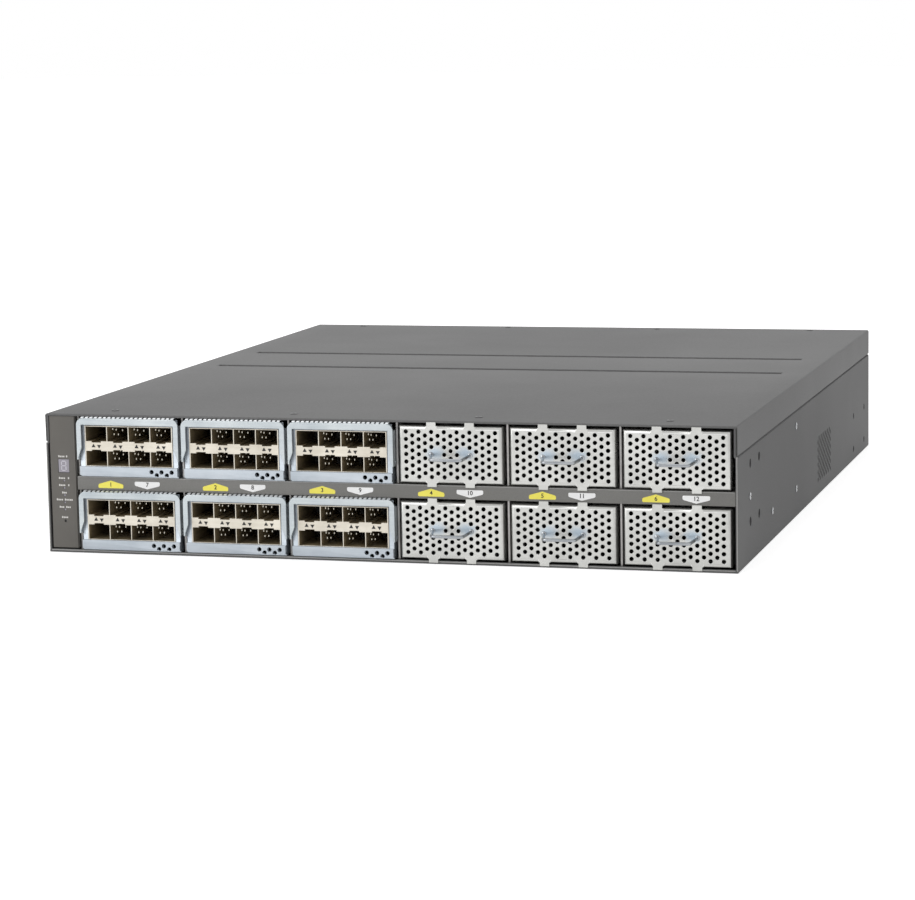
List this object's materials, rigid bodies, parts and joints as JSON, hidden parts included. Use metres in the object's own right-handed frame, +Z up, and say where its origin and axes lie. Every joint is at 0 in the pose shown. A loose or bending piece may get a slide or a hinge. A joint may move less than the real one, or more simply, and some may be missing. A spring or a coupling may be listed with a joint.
{
  "type": "modular chassis switch",
  "caption": "Two-unit rack switch with a slotted front: slide-in port modules with ejector bails, perforated blanking panels with wire pulls, rear power supplies and fan trays.",
  "frame": {"origin": "middle of the base", "axes": "+X to the right seen from the front, the front faces -Y, +Z up"},
  "size_m": [0.4414, 0.5695, 0.0887],
  "materials": {
    "case_paint": "fine powder coat",
    "panel_plastic": "fine matt",
    "zinc_steel": "zinc plated",
    "satin_steel": "satin",
    "cage_metal": "nickel plated",
    "bright_wire": "polished",
    "board_green": "solder mask",
    "clear_lens": "smoked lens",
    "black_plastic": "matt",
    "bare_aluminium": "extruded",
    "latch_green": "matt"
  },
  "bodies": {
    "chassis": {"chassis_tub": "case_paint", "top_cover": "case_paint", "mid_bar": "case_paint", "slot_frame": "zinc_steel", "status_panel": "panel_plastic", "display_window": "clear_lens", "lamp_guide": "clear_lens", "midplane": "board_green", "switch_board": "board_green", "heat_sinks": "bare_aluminium", "rear_panel": "case_paint", "service_ports": "black_plastic", "case_screws": "case_paint"},
    "reset": {"reset_button": "black_plastic"},
    "module_1": {"module_1_tray": "zinc_steel", "module_1_board": "board_green", "module_1_cages": "cage_metal"},
    "bail_1": {"module_1_bail": "zinc_steel"},
    "module_2": {"module_2_tray": "zinc_steel", "module_2_board": "board_green", "module_2_cages": "cage_metal"},
    "bail_2": {"module_2_bail": "zinc_steel"},
    "module_3": {"module_3_tray": "zinc_steel", "module_3_board": "board_green", "module_3_cages": "cage_metal"},
    "bail_3": {"module_3_bail": "zinc_steel"},
    "module_7": {"module_7_tray": "zinc_steel", "module_7_board": "board_green", "module_7_cages": "cage_metal"},
    "bail_7": {"module_7_bail": "zinc_steel"},
    "module_8": {"module_8_tray": "zinc_steel", "module_8_board": "board_green", "module_8_cages": "cage_metal"},
    "bail_8": {"module_8_bail": "zinc_steel"},
    "module_9": {"module_9_tray": "zinc_steel", "module_9_board": "board_green", "module_9_cages": "cage_metal"},
    "bail_9": {"module_9_bail": "zinc_steel"},
    "blank_4": {"blank_4_panel": "satin_steel", "blank_4_pull": "bright_wire"},
    "blank_5": {"blank_5_panel": "satin_steel", "blank_5_pull": "bright_wire"},
    "blank_6": {"blank_6_panel": "satin_steel", "blank_6_pull": "bright_wire"},
    "blank_10": {"blank_10_panel": "satin_steel", "blank_10_pull": "bright_wire"},
    "blank_11": {"blank_11_panel": "satin_steel", "blank_11_pull": "bright_wire"},
    "blank_12": {"blank_12_panel": "satin_steel", "blank_12_pull": "bright_wire"},
    "power_1": {"power_1_case": "zinc_steel"},
    "power_latch_1": {"power_1_latch": "latch_green"},
    "power_2": {"power_2_case": "zinc_steel"},
    "power_latch_2": {"power_2_latch": "latch_green"},
    "fan_1": {"fan_1_tray": "black_plastic"},
    "rotor_1": {"fan_1_rotor": "black_plastic"},
    "fan_2": {"fan_2_tray": "black_plastic"},
    "rotor_2": {"fan_2_rotor": "black_plastic"},
    "fan_3": {"fan_3_tray": "black_plastic"},
    "rotor_3": {"fan_3_rotor": "black_plastic"}
  },
  "joints": [
    {"name": "reset_press", "type": "slide", "parent": "chassis", "child": "reset", "axis": [0, 1, 0], "range_m": [0, 0.0008], "stiffness_N_per_m": 400, "springref_m": -0.0006},
    {"name": "module_1_slide", "type": "slide", "parent": "chassis", "child": "module_1", "axis": [0, -1, 0], "range_m": [0, 0.17]},
    {"name": "bail_1_hinge", "type": "hinge", "parent": "module_1", "child": "bail_1", "pos_m": [-0.1643, -0.2713, 0.0621], "axis": [1, 0, 0], "range_deg": [0, 60]},
    {"name": "module_2_slide", "type": "slide", "parent": "chassis", "child": "module_2", "axis": [0, -1, 0], "range_m": [0, 0.17]},
    {"name": "bail_2_hinge", "type": "hinge", "parent": "module_2", "child": "bail_2", "pos_m": [-0.0947, -0.2713, 0.0621], "axis": [1, 0, 0], "range_deg": [0, 60]},
    {"name": "module_3_slide", "type": "slide", "parent": "chassis", "child": "module_3", "axis": [0, -1, 0], "range_m": [0, 0.17]},
    {"name": "bail_3_hinge", "type": "hinge", "parent": "module_3", "child": "bail_3", "pos_m": [-0.0251, -0.2713, 0.0621], "axis": [1, 0, 0], "range_deg": [0, 60]},
    {"name": "module_7_slide", "type": "slide", "parent": "chassis", "child": "module_7", "axis": [0, -1, 0], "range_m": [0, 0.17]},
    {"name": "bail_7_hinge", "type": "hinge", "parent": "module_7", "child": "bail_7", "pos_m": [-0.1643, -0.2713, 0.0155], "axis": [1, 0, 0], "range_deg": [0, 60]},
    {"name": "module_8_slide", "type": "slide", "parent": "chassis", "child": "module_8", "axis": [0, -1, 0], "range_m": [0, 0.17]},
    {"name": "bail_8_hinge", "type": "hinge", "parent": "module_8", "child": "bail_8", "pos_m": [-0.0947, -0.2713, 0.0155], "axis": [1, 0, 0], "range_deg": [0, 60]},
    {"name": "module_9_slide", "type": "slide", "parent": "chassis", "child": "module_9", "axis": [0, -1, 0], "range_m": [0, 0.17]},
    {"name": "bail_9_hinge", "type": "hinge", "parent": "module_9", "child": "bail_9", "pos_m": [-0.0251, -0.2713, 0.0155], "axis": [1, 0, 0], "range_deg": [0, 60]},
    {"name": "blank_4_slide", "type": "slide", "parent": "chassis", "child": "blank_4", "axis": [0, -1, 0], "range_m": [0, 0.03]},
    {"name": "blank_5_slide", "type": "slide", "parent": "chassis", "child": "blank_5", "axis": [0, -1, 0], "range_m": [0, 0.03]},
    {"name": "blank_6_slide", "type": "slide", "parent": "chassis", "child": "blank_6", "axis": [0, -1, 0], "range_m": [0, 0.03]},
    {"name": "blank_10_slide", "type": "slide", "parent": "chassis", "child": "blank_10", "axis": [0, -1, 0], "range_m": [0, 0.03]},
    {"name": "blank_11_slide", "type": "slide", "parent": "chassis", "child": "blank_11", "axis": [0, -1, 0], "range_m": [0, 0.03]},
    {"name": "blank_12_slide", "type": "slide", "parent": "chassis", "child": "blank_12", "axis": [0, -1, 0], "range_m": [0, 0.03]},
    {"name": "power_1_slide", "type": "slide", "parent": "chassis", "child": "power_1", "axis": [0, 1, 0], "range_m": [0, 0.18]},
    {"name": "power_1_latch_hinge", "type": "hinge", "parent": "power_1", "child": "power_latch_1", "pos_m": [-0.21155, 0.2365, 0.0228], "axis": [0, 0, -1], "range_deg": [0, 2], "stiffness_Nm_per_rad": 0.6, "springref_deg": -1.15},
    {"name": "power_2_slide", "type": "slide", "parent": "chassis", "child": "power_2", "axis": [0, 1, 0], "range_m": [0, 0.18]},
    {"name": "power_2_latch_hinge", "type": "hinge", "parent": "power_2", "child": "power_latch_2", "pos_m": [-0.21155, 0.2365, 0.0638], "axis": [0, 0, -1], "range_deg": [0, 2], "stiffness_Nm_per_rad": 0.6, "springref_deg": -1.15},
    {"name": "fan_1_slide", "type": "slide", "parent": "chassis", "child": "fan_1", "axis": [0, 1, 0], "range_m": [0, 0.06]},
    {"name": "fan_1_spin", "type": "hinge", "parent": "fan_1", "child": "rotor_1", "pos_m": [0, 0.2425, 0.0442], "axis": [0, 1, 0], "continuous": true},
    {"name": "fan_2_slide", "type": "slide", "parent": "chassis", "child": "fan_2", "axis": [0, 1, 0], "range_m": [0, 0.06]},
    {"name": "fan_2_spin", "type": "hinge", "parent": "fan_2", "child": "rotor_2", "pos_m": [0.0865, 0.2425, 0.0442], "axis": [0, 1, 0], "continuous": true},
    {"name": "fan_3_slide", "type": "slide", "parent": "chassis", "child": "fan_3", "axis": [0, 1, 0], "range_m": [0, 0.06]},
    {"name": "fan_3_spin", "type": "hinge", "parent": "fan_3", "child": "rotor_3", "pos_m": [0.173, 0.2425, 0.0442], "axis": [0, 1, 0], "continuous": true}
  ]
}
